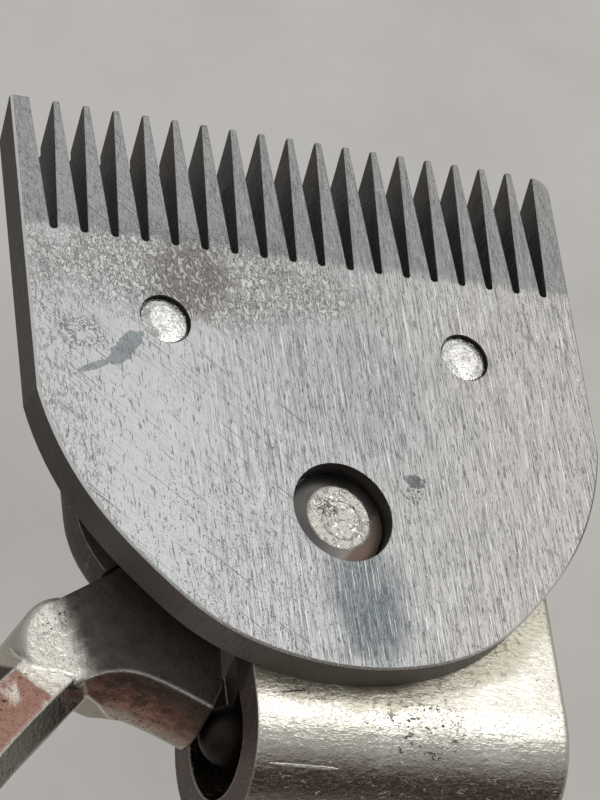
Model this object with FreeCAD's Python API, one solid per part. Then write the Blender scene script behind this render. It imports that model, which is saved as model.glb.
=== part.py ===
import FreeCAD, Part
import math
import os

os.makedirs("parts", exist_ok=True)

# Two-handled hand clipper, lying on its back: the comb's sole faces up.
# Millimetres. +Z is the sole's outward normal, +Y points to the tooth tips.
# The origin is on the pivot axis, at the surface that the clipper rests on.

# ---- stack on the pivot axis ----
head_height = 28.0          # resting surface to the comb's sole
comb_thickness = 3.6
cutter_thickness = 2.1
hub_thickness = 4.8
cap_roof = 2.6              # head wall over the lever hub
sliding_gap = 0.05          # between flat faces that slide on each other
pressed_gap = 0.01          # round a pressed pin or bush
running_gap = 0.05          # round a pin that turns or slides
working_gap = 0.4           # round a piece that must swing clear

# ---- comb plate ----
tooth_pitch = 3.0
gap_count = 18
outer_tooth_root = 2.615    # width of each outer tooth at its root
tooth_root_y = 26.3
tooth_length = 13.9
gap_root_width = 0.77
gap_tip_width = 2.43
tip_bevel_length = 2.9      # bevel on the back of the tips
tip_edge_thickness = 0.4
comb_rear_centre_y = 14.6
comb_corner_bulge = 0.5     # rear arc's radius over the half width
comb_rear_fullness = 1.0    # and this much more at the middle of the rear edge
comb_blend_start = 7.0      # inward from the sides, where it starts to grow
comb_blend_length = 10.5
corner_radius_right = 1.6
comb_edge_break = 0.2       # chamfer round the sole, behind the teeth
comb_relief_depth = 0.3     # hollow-ground band on the back
comb_relief_front_y = 21.0
comb_relief_rear_y = 6.0

# ---- comb pins ----
pin_radius = 2.3
pin_x = 15.4
pin_y = 18.0
pin_mouth_radius = 2.5      # eased edge of each pin hole on the sole
pin_mouth_depth = 0.7
pin_dome = 0.35
pin_crown_share = 0.62      # radius and drop of the dome's brighter middle
pin_crown_drop = 0.3
pin_boss_radius = 4.4
pin_bite = 3.6              # how far the pins enter the head

# ---- pivot bolt, washers and thumb nut ----
bolt_radius = 3.0
bolt_head_radius = 4.65
bolt_head_height = 1.5
bolt_head_flat_radius = 3.1
bolt_head_chamfer = 0.45
bolt_seat_radius = 4.93     # recess in the sole
bolt_recess = 1.1           # bolt head below the sole
bolt_square = 6.6
bolt_square_gap = 0.1
bolt_end_room = 0.6         # bolt's end to the bottom of the nut's bore
bolt_end_chamfer = 0.5
tension_washer_radius = 6.8
tension_washer_thickness = 0.8
tension_washer_dish = 0.6
tension_washer_flat = 1.0   # flat ring round its hole
plain_washer_radius = 5.6
plain_washer_thickness = 1.0
nut_base_radius = 6.4
nut_base_height = 2.6
nut_waist_radius = 4.9
nut_closed_end = 2.2
nut_neck_slope = 1.5        # height over which the waist widens to the base
nut_seat_chamfer = 0.4
wing_span = 25.0
wing_thickness = 3.0
wing_drop = 1.6             # wings start this far below the nut's seat
nut_lip_radius = 4.0
nut_foot = 1.2              # wings over the resting surface
wing_angle = 35.0
wing_root = 1.0             # wings' inner corners outside the waist
wing_arch = 0.4             # share of the wings' height left free at the waist
wing_shoulder = 0.55        # share of it where the tips begin
wing_foot = 3.2
wing_top_round = 1.2
wing_tip_round = 1.8
wing_foot_round = 1.6
wing_arch_round = 2.0

# ---- cutter ----
cutter_tooth_count = 18
cutter_root_y = 25.4
cutter_tip_y = 36.6
cutter_root_width = 2.15
cutter_tip_width = 0.9
cutter_side_margin = 0.125
cutter_shoulder_y = 13.0
cutter_waist_y = 3.0
cutter_rear_y = -6.6
cutter_rear_half = 10.2
cutter_corner = 4.0

# ---- drive between lever and cutter ----
drive_radius = 17.2         # pivot to drive pin
handle_swing = 10.0         # degrees, open to closed
drive_pin_radius = 1.8
shoe_width = 6.0
shoe_length = 5.6
shoe_gap = 0.08
shoe_end_room = 1.4
toe_radius = 4.2

# ---- lever ----
hub_radius = 7.5
bush_radius = 4.5
arm_bend_x = -20.6          # front edge of the arm turns here
arm_bend_y = -5.0
crank_start_y = -2.4        # the arm starts to drop away from the comb here
crank_slope = 0.31
crank_back_y = -6.0
crank_back_slope = 0.38
elbow_x = -24.7
elbow_y = -10.9
elbow_radius = 3.9
elbow_foot_z = 11.2
elbow_round = 0.6
arm_shoulder_x = -11.5      # the arm's front leaves the hub here
arm_shoulder_y = 1.2
arm_front_x = -4.0          # inside the hub
arm_front_y = 4.6
arm_bay_x = -9.9            # hollow between hub and finger
arm_bay_y = -7.5
arm_bay_round = 3.5
arm_rear_x = -4.5           # inside the hub
arm_rear_y = -3.2
finger_tip_x = -10.5
finger_tip_y = -16.1
finger_lean = -24.6         # degrees from X to the finger's direction
finger_outer = 2.2          # from the tip's middle to its two sides
finger_inner = 2.6
finger_corner = 0.9
finger_knee_x = -19.6       # outer side of the finger's root
finger_knee_y = -15.6
crotch_x = -22.0            # where the finger's outer side meets the bar
crotch_y = -14.9
bevel_side = 2.0            # first face below the ridge, out and down
bevel_fall = 2.2
flank_side = 2.9            # second, steeper face
flank_fall = 4.1
belly_side = -0.6           # and the face that runs back underneath
belly_fall = 7.6
ridge_overlap = 0.5         # the bevel's plane runs this share past the ridge

# plan of the ridge where the arm's face ends, from the elbow to the finger's tip
finger_ridge = [
    (-26.5, -16.0),
    (-22.8, -14.0),
    (-18.8, -12.95),
    (-14.0, -14.05),
    (-10.4, -15.5),
    (-7.0, -17.2),
]

# ---- spring drum ----
drum_radius = 9.0
drum_wall = 3.2
drum_y = -16.9
drum_left_x = -9.0
drum_right_x = 22.5
drum_end_wall = 3.4
drum_edge = 0.8             # rounding of the drum's and the seat's right end
seat_gap = 0.05             # comb's rear edge over its seat
seat_thickness = 3.2
seat_front_y = -9.2
seat_wing_y = 2.0           # the seat's right side runs forward to here
seat_wing_x = 12.5
mouth_slot_x = -5.2         # slot in the mouth for the lever's web
mouth_slot_rear = -16.9
mouth_slot_front = -5.0
mouth_slot_far = 4.4
mouth_slot_near = 5.7

# ---- head cap ----
cap_half_width = 22.8
cap_front_y = 24.6
cap_rear_y = -8.5
cap_front_corner = 7.0
cap_rear_corner = 11.0
cap_rim_depth = 7.5         # rim's near face below the sole
cap_wall = 2.6
cap_round = 3.8
cap_inner_rear_y = -2.5
cap_inner_corner = 4.0
neck_left_x = 4.0
neck_front_y = 4.0
hub_clearance_radius = 8.3
stop_gap = 0.45             # arm to cap when the handles are open
notch_front_x = -3.7        # the arm's notch starts on the hub's clearance hole
notch_front_y = 6.35
notch_reach = 16.0          # past the cap's left side
notch_fall = 8.0
notch_length = 30.0
notch_right_x = -4.0
roof_notch_x = -9.0
roof_notch_y = -4.8
pin_hole_extra = 0.3

# ---- return spring and follower ----
spring_radius = 4.3
spring_wire = 1.3
spring_turns = 6
spring_sides = 6            # facets of the wire's section
spring_steps = 12           # facets of one turn
follower_nose_x = -7.66
follower_nose_length = 2.86
follower_radius = 5.7
follower_disc = 2.4
follower_nose_radius = 2.8
follower_spigot_radius = 3.0
follower_spigot_length = 4.0

# ---- handles ----
bar_width_head = 7.6
bar_width_grip = 10.4
bar_chamfer_share = 0.25
bar_depth_share = 0.94      # section height over width
bar_swell = 2.2             # full width after 1/2.2 of the length
bar_end_round = 2.6

# plan and height of each bar's axis, from the head to the grip's end
moving_route = [
    (-24.4, -12.0, 15.1),
    (-30.9, -19.2, 14.9),
    (-36.6, -25.6, 14.3),
    (-41.0, -35.2, 13.0),
    (-43.4, -58.7, 10.6),
    (-44.8, -86.5, 8.6),
    (-46.6, -136.5, 6.3),
    (-48.3, -196.5, 4.9),
]
fixed_route = [
    (17.0, -20.5, 13.5),
    (24.6, -31.0, 13.2),
    (31.4, -46.0, 12.0),
    (35.0, -62.0, 10.6),
    (36.5, -90.0, 8.7),
    (35.0, -140.0, 6.3),
    (31.0, -200.0, 4.9),
]

comb_half_width = (gap_count - 1) * tooth_pitch / 2.0 + gap_root_width / 2.0 + outer_tooth_root
cutter_half_width = (cutter_tooth_count - 1) * tooth_pitch / 2.0 + cutter_root_width / 2.0
cutter_half_width += cutter_side_margin
comb_side_radius = comb_half_width + comb_corner_bulge
z_sole = head_height
z_comb_back = z_sole - comb_thickness
z_cutter_front = z_comb_back - sliding_gap
z_cutter_back = z_cutter_front - cutter_thickness
z_hub_front = z_cutter_back - sliding_gap
z_hub_back = z_hub_front - hub_thickness
z_ceiling = z_hub_back - sliding_gap
z_cap_back = z_ceiling - cap_roof
z_rim = z_sole - cap_rim_depth
z_seat = z_comb_back - seat_gap
z_drum = z_seat - drum_radius
bore_radius = drum_radius - drum_wall


def vec(x, y, z=0.0):
    return FreeCAD.Vector(x, y, z)


def outline(corners, z=0.0):
    """Closed wire through (x, y, radius) corners, each rounded by a tangent arc."""
    count = len(corners)
    starts = []
    ends = []
    for i in range(count):
        x, y, radius = corners[i]
        here = vec(x, y, z)
        before = vec(corners[i - 1][0], corners[i - 1][1], z) - here
        after = vec(corners[(i + 1) % count][0], corners[(i + 1) % count][1], z) - here
        before.normalize()
        after.normalize()
        half = before.getAngle(after) / 2.0
        cut = radius / math.tan(half) if radius else 0.0
        middle = before + after
        if radius:
            middle.normalize()
            centre = here + middle * (radius / math.sin(half))
            middle = centre - middle * radius
        starts.append(here + before * cut)
        ends.append((middle, here + after * cut))
    edges = []
    for i in range(count):
        middle, end = ends[i]
        if corners[i][2]:
            edges.append(Part.Arc(starts[i], middle, end).toShape())
        following = starts[(i + 1) % count]
        if end.distanceToPoint(following) > 1e-6:
            edges.append(Part.makeLine(end, following))
    return Part.Wire(edges)


def prism(wire, low, high):
    """Solid above a flat wire drawn at z = 0."""
    solid = Part.Face(wire).extrude(vec(0, 0, high - low))
    solid.translate(vec(0, 0, low))
    return solid


def post(x, y, radius, low, high):
    return Part.makeCylinder(radius, high - low, vec(x, y, low))


def block(x0, x1, y0, y1, z0, z1):
    return Part.makeBox(x1 - x0, y1 - y0, z1 - z0, vec(x0, y0, z0))


def slot(x0, x1, y, radius, low, high):
    """Round-ended slot along X between the end centres x0 and x1."""
    middle = block(x0, x1, y - radius, y + radius, low, high)
    return middle.fuse([post(x0, y, radius, low, high), post(x1, y, radius, low, high)])


def turned(profile):
    """Solid of revolution about Z from (radius, z) corners."""
    points = [vec(r, 0, z) for r, z in profile]
    points.append(points[0])
    face = Part.Face(Part.makePolygon(points))
    return face.revolve(vec(0, 0, 0), vec(0, 0, 1), 360)


def along_x(profile, x0, x1):
    """Solid with a (y, z) outline, from x0 to x1."""
    points = [vec(x0, y, z) for y, z in profile]
    points.append(points[0])
    return Part.Face(Part.makePolygon(points)).extrude(vec(x1 - x0, 0, 0))


def smooth_step(t):
    t = max(0.0, min(1.0, t))
    return t * t * (3 - 2 * t)


def save(shape, name):
    solid = shape.removeSplitter()
    solid.exportStep("parts/" + name + ".step")
    print(name, len(solid.Solids), "solids", round(solid.Volume, 1), solid.isValid())
    return solid


def gap_x(index):
    return (index - (gap_count - 1) / 2.0) * tooth_pitch


def rear_edge(points=17):
    """Rear outline of the comb, from its right side to its left side."""
    rise = math.sqrt(comb_side_radius ** 2 - comb_half_width ** 2)
    end_angle = math.atan2(comb_half_width, rise)
    places = []
    for i in range(points):
        angle = end_angle * (1 - 2.0 * i / (points - 1))
        across = comb_side_radius * abs(math.sin(angle))
        inward = comb_half_width - comb_blend_start - across
        radius = comb_side_radius + comb_rear_fullness * smooth_step(inward / comb_blend_length)
        places.append(vec(radius * math.sin(angle), comb_rear_centre_y - radius * math.cos(angle)))
    curve = Part.BSplineCurve()
    curve.interpolate(places)
    return curve.toShape()


def comb_outline():
    tip_y = tooth_root_y + tooth_length
    root = gap_root_width / 2.0
    tip = gap_tip_width / 2.0
    edges = []
    rear = rear_edge()
    end, start = [vertex.Point for vertex in rear.Vertexes]
    last = vec(-comb_half_width, tip_y)
    edges.append(Part.makeLine(start, last))
    for index in range(gap_count):
        x = gap_x(index)
        gap = [
            last,
            vec(x - tip, tip_y),
            vec(x - root, tooth_root_y),
            vec(x - root / 2.0, tooth_root_y - root / 2.0),
            vec(x + root / 2.0, tooth_root_y - root / 2.0),
            vec(x + root, tooth_root_y),
            vec(x + tip, tip_y),
        ]
        for i in range(len(gap) - 1):
            edges.append(Part.makeLine(gap[i], gap[i + 1]))
        last = gap[-1]
    corner = vec(comb_half_width - corner_radius_right, tip_y)
    lean = corner_radius_right * (1 - math.sqrt(0.5))
    bend = vec(comb_half_width - lean, tip_y - lean)
    side = vec(comb_half_width, tip_y - corner_radius_right)
    edges.append(Part.makeLine(last, corner))
    edges.append(Part.Arc(corner, bend, side).toShape())
    edges.append(Part.makeLine(side, end))
    edges.append(rear)
    return Part.Wire(edges)


def make_comb():
    plate = prism(comb_outline(), z_comb_back, z_sole)
    rim = []
    for edge in plate.Edges:
        middle = edge.valueAt((edge.FirstParameter + edge.LastParameter) / 2.0)
        behind = middle.y < tooth_root_y - 1 or abs(middle.x) > comb_half_width - 0.01
        if abs(middle.z - z_sole) < 1e-6 and behind and edge.Length > tooth_pitch:
            rim.append(edge)
    plate = plate.makeChamfer(comb_edge_break, rim)
    tip_y = tooth_root_y + tooth_length
    bevel = along_x(
        [
            (tip_y - tip_bevel_length, z_comb_back),
            (tip_y, z_sole - tip_edge_thickness),
            (tip_y + 1, z_sole - tip_edge_thickness),
            (tip_y + 1, z_comb_back - 1),
            (tip_y - tip_bevel_length, z_comb_back - 1),
        ],
        -comb_half_width - 1,
        comb_half_width + 1,
    )
    cuts = [bevel]
    low = z_comb_back - 1
    for x in (-pin_x, pin_x):
        cuts.append(post(x, pin_y, pin_radius + pressed_gap, low, z_sole + 1))
        cuts.append(post(x, pin_y, pin_mouth_radius, z_sole - pin_mouth_depth, z_sole + 1))
    z_bolt_seat = z_sole - bolt_recess - bolt_head_height
    cuts.append(post(0, 0, bolt_seat_radius, z_bolt_seat, z_sole + 1))
    half = bolt_square / 2.0 + bolt_square_gap
    cuts.append(block(-half, half, -half, half, low, z_sole))
    relief_top = z_comb_back + comb_relief_depth
    inset = comb_half_width - 3 * tooth_pitch / 2.0
    cuts.append(block(-inset, inset, comb_relief_rear_y, comb_relief_front_y, low, relief_top))
    return plate.cut(cuts)


def make_pin(x):
    z_low = z_rim - pin_bite
    profile = [
        (0, z_low),
        (pin_radius, z_low),
        (pin_radius, z_sole - pin_dome),
        (pin_radius * pin_crown_share, z_sole - pin_dome * pin_crown_drop),
        (0, z_sole),
    ]
    pin = turned(profile)
    pin.translate(vec(x, pin_y, 0))
    return pin


def make_bolt():
    z_top = z_sole - bolt_recess
    z_seat_face = z_top - bolt_head_height
    head = turned(
        [
            (0, z_seat_face),
            (bolt_head_radius, z_seat_face),
            (bolt_head_radius, z_top - bolt_head_chamfer),
            (bolt_head_flat_radius, z_top),
            (0, z_top),
        ]
    )
    half = bolt_square / 2.0
    square = block(-half, half, -half, half, z_comb_back + sliding_gap, z_seat_face)
    end = nut_closed_end + bolt_end_room
    shank = turned(
        [
            (0, end),
            (bolt_radius - bolt_end_chamfer, end),
            (bolt_radius, end + bolt_end_chamfer),
            (bolt_radius, z_seat_face),
            (0, z_seat_face),
        ]
    )
    return head.fuse([square, shank])


def cutter_outline():
    edges = []
    root = cutter_root_width / 2.0
    tip = cutter_tip_width / 2.0
    middle = cutter_travel() / 2.0
    first = gap_x(0) + tooth_pitch / 2.0
    start = vec(middle - cutter_half_width, cutter_root_y)
    last = start
    for index in range(cutter_tooth_count):
        x = first + index * tooth_pitch
        points = [
            last,
            vec(x - root, cutter_root_y),
            vec(x - tip, cutter_tip_y),
            vec(x + tip, cutter_tip_y),
            vec(x + root, cutter_root_y),
        ]
        for i in range(len(points) - 1):
            edges.append(Part.makeLine(points[i], points[i + 1]))
        last = points[-1]
    right = [
        last,
        vec(middle + cutter_half_width, cutter_root_y),
        vec(middle + cutter_half_width, cutter_shoulder_y),
        vec(middle + cutter_rear_half, cutter_waist_y),
        vec(middle + cutter_rear_half, cutter_rear_y + cutter_corner),
        vec(middle + cutter_rear_half - cutter_corner, cutter_rear_y),
    ]
    left = [vec(2 * middle - point.x, point.y) for point in reversed(right[1:])]
    points = right + left
    for i in range(len(points) - 1):
        edges.append(Part.makeLine(points[i], points[i + 1]))
    return Part.Wire(edges)


def cutter_travel():
    return drive_radius * math.radians(handle_swing)


def make_cutter():
    plate = prism(cutter_outline(), z_cutter_back, z_cutter_front)
    low = z_cutter_back - 1
    high = z_cutter_front + 1
    travel = cutter_travel()
    cuts = []
    for x in (-pin_x, pin_x):
        cuts.append(slot(x, x + travel, pin_y, pin_radius + working_gap / 2.0, low, high))
    cuts.append(slot(0, travel, 0, bolt_radius + working_gap, low, high))
    half = shoe_width / 2.0 + shoe_gap
    front = drive_radius + shoe_length / 2.0 + shoe_end_room / 2.0
    rear = drive_radius - shoe_length / 2.0 - shoe_end_room
    cuts.append(block(-half, half, rear, front, low, high))
    return plate.cut(cuts)


def make_shoe():
    half = shoe_width / 2.0
    low = z_cutter_back + sliding_gap
    high = z_cutter_front - sliding_gap
    front = drive_radius + shoe_length / 2.0
    rear = drive_radius - shoe_length / 2.0
    body = block(-half, half, rear, front, low, high)
    return body.cut(post(0, drive_radius, drive_pin_radius + running_gap, low - 1, high + 1))


def make_drive_pin():
    low = z_hub_back
    high = z_cutter_front - sliding_gap
    return post(0, drive_radius, drive_pin_radius, low, high)


def make_bush():
    ring = post(0, 0, bush_radius - pressed_gap, z_hub_back, z_hub_front)
    return ring.cut(post(0, 0, bolt_radius + running_gap, z_hub_back - 1, z_hub_front + 1))


def bar_section(centre, along, width, height):
    """Eight-sided section square to the bar's direction."""
    side = along.cross(vec(0, 0, 1))
    side.normalize()
    up = side.cross(along)
    up.normalize()
    a = width / 2.0
    b = height / 2.0
    c = min(width, height) * bar_chamfer_share
    corners = [
        (a, b - c), (a - c, b), (c - a, b), (-a, b - c),
        (-a, c - b), (c - a, -b), (a - c, -b), (a, c - b),
    ]
    points = [centre + side * s + up * u for s, u in corners]
    points.append(points[0])
    return Part.makePolygon(points)


def make_bar(route, stations=12):
    """Forged handle bar, wider towards the grip."""
    path = Part.BSplineCurve()
    path.interpolate([vec(*point) for point in route])
    first = path.FirstParameter
    length = path.LastParameter - first
    wires = []
    for i in range(stations):
        t = i / (stations - 1.0)
        at = first + length * t
        width = bar_width_head + (bar_width_grip - bar_width_head) * smooth_step(t * bar_swell)
        centre = path.value(at)
        wires.append(bar_section(centre, path.tangent(at)[0], width, width * bar_depth_share))
    bar = Part.makeLoft(wires, True, False)
    end = vec(*route[-1])
    rim = [edge for edge in bar.Edges if edge.CenterOfMass.distanceToPoint(end) < bar_width_grip / 2.0 + 0.5]
    return bar.makeFillet(bar_end_round, rim)


def link(x0, y0, r0, x1, y1, r1, low, high):
    """Two round ends joined by their outer tangents."""
    dx = x1 - x0
    dy = y1 - y0
    distance = math.hypot(dx, dy)
    along = math.atan2(dy, dx)
    lean = math.acos((r0 - r1) / distance)
    points = []
    for x, y, r, sign in ((x0, y0, r0, 1), (x1, y1, r1, 1), (x1, y1, r1, -1), (x0, y0, r0, -1)):
        angle = along + sign * lean
        points.append(vec(x + r * math.cos(angle), y + r * math.sin(angle)))
    points.append(points[0])
    web = prism(Part.makePolygon(points), low, high)
    return web.fuse([post(x0, y0, r0, low, high), post(x1, y1, r1, low, high)])


def crank_front(y):
    """Height of the arm's face towards the comb."""
    return z_hub_front - crank_slope * max(0.0, crank_start_y - y)


def crank_back(y):
    return z_hub_back - crank_back_slope * max(0.0, crank_back_y - y)


def front_tangent():
    """Where a line from the arm's bend touches the flat part of the elbow's face."""
    dx = arm_bend_x - elbow_x
    dy = arm_bend_y - elbow_y
    flat = elbow_radius - elbow_round
    angle = math.atan2(dy, dx) + math.acos(flat / math.hypot(dx, dy))
    return elbow_x + flat * math.cos(angle), elbow_y + flat * math.sin(angle)


def arm_web():
    """Arm and finger in plan."""
    lean = math.radians(finger_lean)
    outward = vec(math.sin(lean), -math.cos(lean))
    tip = vec(finger_tip_x, finger_tip_y)
    outer = tip + outward * finger_outer
    inner = tip - outward * finger_inner
    touch_x, touch_y = front_tangent()
    corners = [
        (arm_front_x, arm_front_y, 0),
        (arm_shoulder_x, arm_shoulder_y, 0),
        (arm_bend_x, arm_bend_y, 0),
        (touch_x, touch_y, 0),
        (elbow_x, elbow_y, 0),
        (crotch_x, crotch_y, 0),
        (finger_knee_x, finger_knee_y, 0),
        (outer.x, outer.y, finger_corner),
        (inner.x, inner.y, finger_corner),
        (arm_bay_x, arm_bay_y, arm_bay_round),
        (arm_rear_x, arm_rear_y, 0),
    ]
    return prism(outline(corners), 0, z_sole)


def ridge_cut(stations=9):
    """Takes away what lies outside the finger's bevel, flank and belly."""
    path = Part.BSplineCurve()
    path.interpolate([vec(x, y, crank_front(y)) for x, y in finger_ridge])
    beyond = 2 * flank_side
    corners = [
        (-ridge_overlap * bevel_side, ridge_overlap * bevel_fall),
        (bevel_side, -bevel_fall),
        (flank_side, -flank_fall),
        (belly_side, -belly_fall),
        (beyond, -belly_fall),
        (beyond, ridge_overlap * bevel_fall),
    ]
    wires = []
    for i in range(stations):
        t = i / (stations - 1.0)
        at = path.FirstParameter + (path.LastParameter - path.FirstParameter) * t
        along = path.tangent(at)[0]
        along.z = 0
        along.normalize()
        side = vec(along.y, -along.x)
        centre = path.value(at)
        points = [centre + side * u + vec(0, 0, w) for u, w in corners]
        wires.append(Part.makePolygon(points + points[:1]))
    return Part.makeLoft(wires, True, False)


def elbow_boss():
    """Round knuckle of the elbow, its face in line with the arm's."""
    rear_y = elbow_y - elbow_radius - 1
    front_y = elbow_y + elbow_radius + 1
    below = along_x(
        [
            (front_y, crank_front(front_y)),
            (rear_y, crank_front(rear_y)),
            (rear_y, 0),
            (front_y, 0),
        ],
        elbow_x - elbow_radius - 1,
        elbow_x + elbow_radius + 1,
    )
    boss = post(elbow_x, elbow_y, elbow_radius, elbow_foot_z, z_sole).common(below)
    rim = [edge for edge in boss.Edges if edge.BoundBox.ZMin > elbow_foot_z + 1 and edge.isClosed()]
    return boss.makeFillet(elbow_round, rim)


def make_moving_handle():
    far_y = finger_tip_y - finger_outer - 2
    near_y = hub_radius + 2
    side = along_x(
        [
            (near_y, z_hub_front),
            (crank_start_y, z_hub_front),
            (far_y, crank_front(far_y)),
            (far_y, crank_back(far_y)),
            (crank_back_y, z_hub_back),
            (near_y, z_hub_back),
        ],
        elbow_x - elbow_radius - 1,
        hub_radius,
    )
    arm = arm_web().common(side).cut(ridge_cut())
    toe = link(0, 0, hub_radius, 0, drive_radius, toe_radius, z_hub_back, z_hub_front)
    body = arm.fuse([elbow_boss(), toe, make_bar(moving_route)]).removeSplitter()
    bush_hole = post(0, 0, bush_radius, z_hub_back - 1, z_hub_front + 1)
    pin_hole = post(0, drive_radius, drive_pin_radius + pressed_gap, z_hub_back - 1, z_hub_front + 1)
    return body.cut([bush_hole, pin_hole])


def cap_outline(inset, rear_y, rear_corner):
    half = cap_half_width - inset
    front = cap_front_y - inset
    corner = cap_front_corner - inset
    return outline(
        [
            (-half, rear_y, rear_corner),
            (half, rear_y, rear_corner),
            (half, front, corner),
            (-half, front, corner),
        ]
    )


def make_cap():
    shell = prism(cap_outline(0, cap_rear_y, cap_rear_corner), z_cap_back, z_rim)
    rim = [edge for edge in shell.Edges if abs(edge.BoundBox.ZMax - z_cap_back) < 1e-6]
    shell = shell.makeFillet(cap_round, rim)
    hollow = prism(cap_outline(cap_wall, cap_inner_rear_y, cap_inner_corner), z_ceiling, z_rim + 1)
    shell = shell.cut(hollow)
    bosses = [post(x, pin_y, pin_boss_radius, z_ceiling - 1, z_rim) for x in (-pin_x, pin_x)]
    return shell.fuse(bosses)


def arm_notch():
    """Room in the cap for the arm: its front side is the opening stop."""
    bend = vec(arm_bend_x - stop_gap / 2.0, arm_bend_y + stop_gap)
    points = [
        vec(notch_front_x, notch_front_y + stop_gap),
        bend,
        bend - vec(notch_reach, notch_fall),
        bend - vec(notch_reach, notch_length),
        vec(notch_right_x, bend.y - notch_length),
    ]
    points.append(points[0])
    return prism(Part.makePolygon(points), z_ceiling, z_sole)


def make_seat():
    """Level pad behind the comb, with a wing forward along its right side."""
    low = z_seat - seat_thickness
    pad = block(drum_left_x, drum_right_x, drum_y, seat_front_y, low, z_seat)
    wing = block(seat_wing_x, drum_right_x, drum_y, seat_wing_y, z_cap_back, z_seat)
    seat = pad.fuse(wing).removeSplitter()
    rim = []
    for edge in seat.Edges:
        box = edge.BoundBox
        if box.XMin > drum_right_x - 1e-6 and box.ZMin > z_seat - 1e-6:
            rim.append(edge)
    return seat.makeFillet(drum_edge, rim)


def make_fixed_handle():
    cap = make_cap().cut(arm_notch())
    low_neck = z_seat - seat_thickness
    neck = block(neck_left_x, drum_right_x, drum_y, neck_front_y, z_cap_back, low_neck)
    axis = vec(1, 0, 0)
    drum = Part.makeCylinder(drum_radius, drum_right_x - drum_left_x, vec(drum_left_x, drum_y, z_drum), axis)
    end = [edge for edge in drum.Edges if edge.BoundBox.XMin > drum_right_x - 1e-6]
    drum = drum.makeFillet(drum_edge, end)
    bar = make_bar(fixed_route)
    body = cap.fuse([neck, make_seat(), drum, bar])
    low = z_cap_back - 1
    mouth = block(
        drum_left_x - 1, mouth_slot_x, mouth_slot_rear, mouth_slot_front,
        z_drum - mouth_slot_far, z_drum + mouth_slot_near,
    )
    bore_length = drum_right_x - drum_end_wall - drum_left_x
    cuts = [
        Part.makeCylinder(bore_radius, bore_length + 5, vec(drum_left_x - 5, drum_y, z_drum), axis),
        mouth,
        post(0, 0, hub_clearance_radius, z_ceiling, z_sole),
        block(-cap_half_width - 1, roof_notch_x, -cap_half_width - 1, roof_notch_y, 0, z_ceiling + 1),
        post(0, 0, bolt_radius + running_gap, low, z_sole),
    ]
    for x in (-pin_x, pin_x):
        cuts.append(post(x, pin_y, pin_radius + pressed_gap, z_rim - pin_bite - pin_hole_extra, z_sole))
    return body.cut(cuts)


def make_follower():
    axis = vec(1, 0, 0)
    nose = vec(follower_nose_x, drum_y, z_drum)
    back = follower_nose_x + follower_nose_length
    ball = Part.makeSphere(follower_nose_radius, nose)
    stem = Part.makeCylinder(follower_nose_radius, follower_nose_length, nose, axis)
    disc = Part.makeCylinder(follower_radius, follower_disc, vec(back, drum_y, z_drum), axis)
    spigot = Part.makeCylinder(
        follower_spigot_radius, follower_disc + follower_spigot_length, vec(back, drum_y, z_drum), axis
    )
    return ball.fuse([stem, disc, spigot])


def polygon_face(points):
    return Part.Face(Part.makePolygon(points + points[:1]))


def make_spring():
    """Coil of flat facets, with its wire cut square at both ends."""
    start = follower_nose_x + follower_nose_length + follower_disc + sliding_gap
    end = drum_right_x - drum_end_wall - sliding_gap
    wire = spring_wire / 2.0
    steps = spring_turns * spring_steps
    advance = (end - start - spring_wire) / steps
    rings = []
    for i in range(steps + 1):
        turn = 2 * math.pi * i / spring_steps
        ring = []
        for k in range(spring_sides):
            angle = 2 * math.pi * (k + 0.5) / spring_sides
            reach = spring_radius + wire * math.cos(angle)
            x = start + wire + i * advance + wire * math.sin(angle)
            ring.append(vec(x, drum_y + reach * math.cos(turn), z_drum + reach * math.sin(turn)))
        rings.append(ring)
    faces = [polygon_face(rings[0]), polygon_face(rings[-1])]
    for near, far in zip(rings, rings[1:]):
        for k in range(spring_sides):
            after = (k + 1) % spring_sides
            faces.append(polygon_face([near[k], near[after], far[after]]))
            faces.append(polygon_face([near[k], far[after], far[k]]))
    spring = Part.makeSolid(Part.makeShell(faces))
    if spring.Volume < 0:
        spring.reverse()
    return spring


def make_tension_washer():
    outer = tension_washer_radius
    inner = bolt_radius + working_gap / 2.0
    top = z_cap_back
    low = z_cap_back - tension_washer_dish - tension_washer_thickness
    return turned(
        [
            (inner, low),
            (inner + tension_washer_flat, low),
            (outer, top - tension_washer_thickness),
            (outer, top),
            (inner, low + tension_washer_thickness),
        ]
    )


def make_plain_washer():
    top = z_cap_back - tension_washer_dish - tension_washer_thickness
    ring = post(0, 0, plain_washer_radius, top - plain_washer_thickness, top)
    return ring.cut(post(0, 0, bolt_radius + working_gap / 2.0, top - 5, top + 1))


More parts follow.
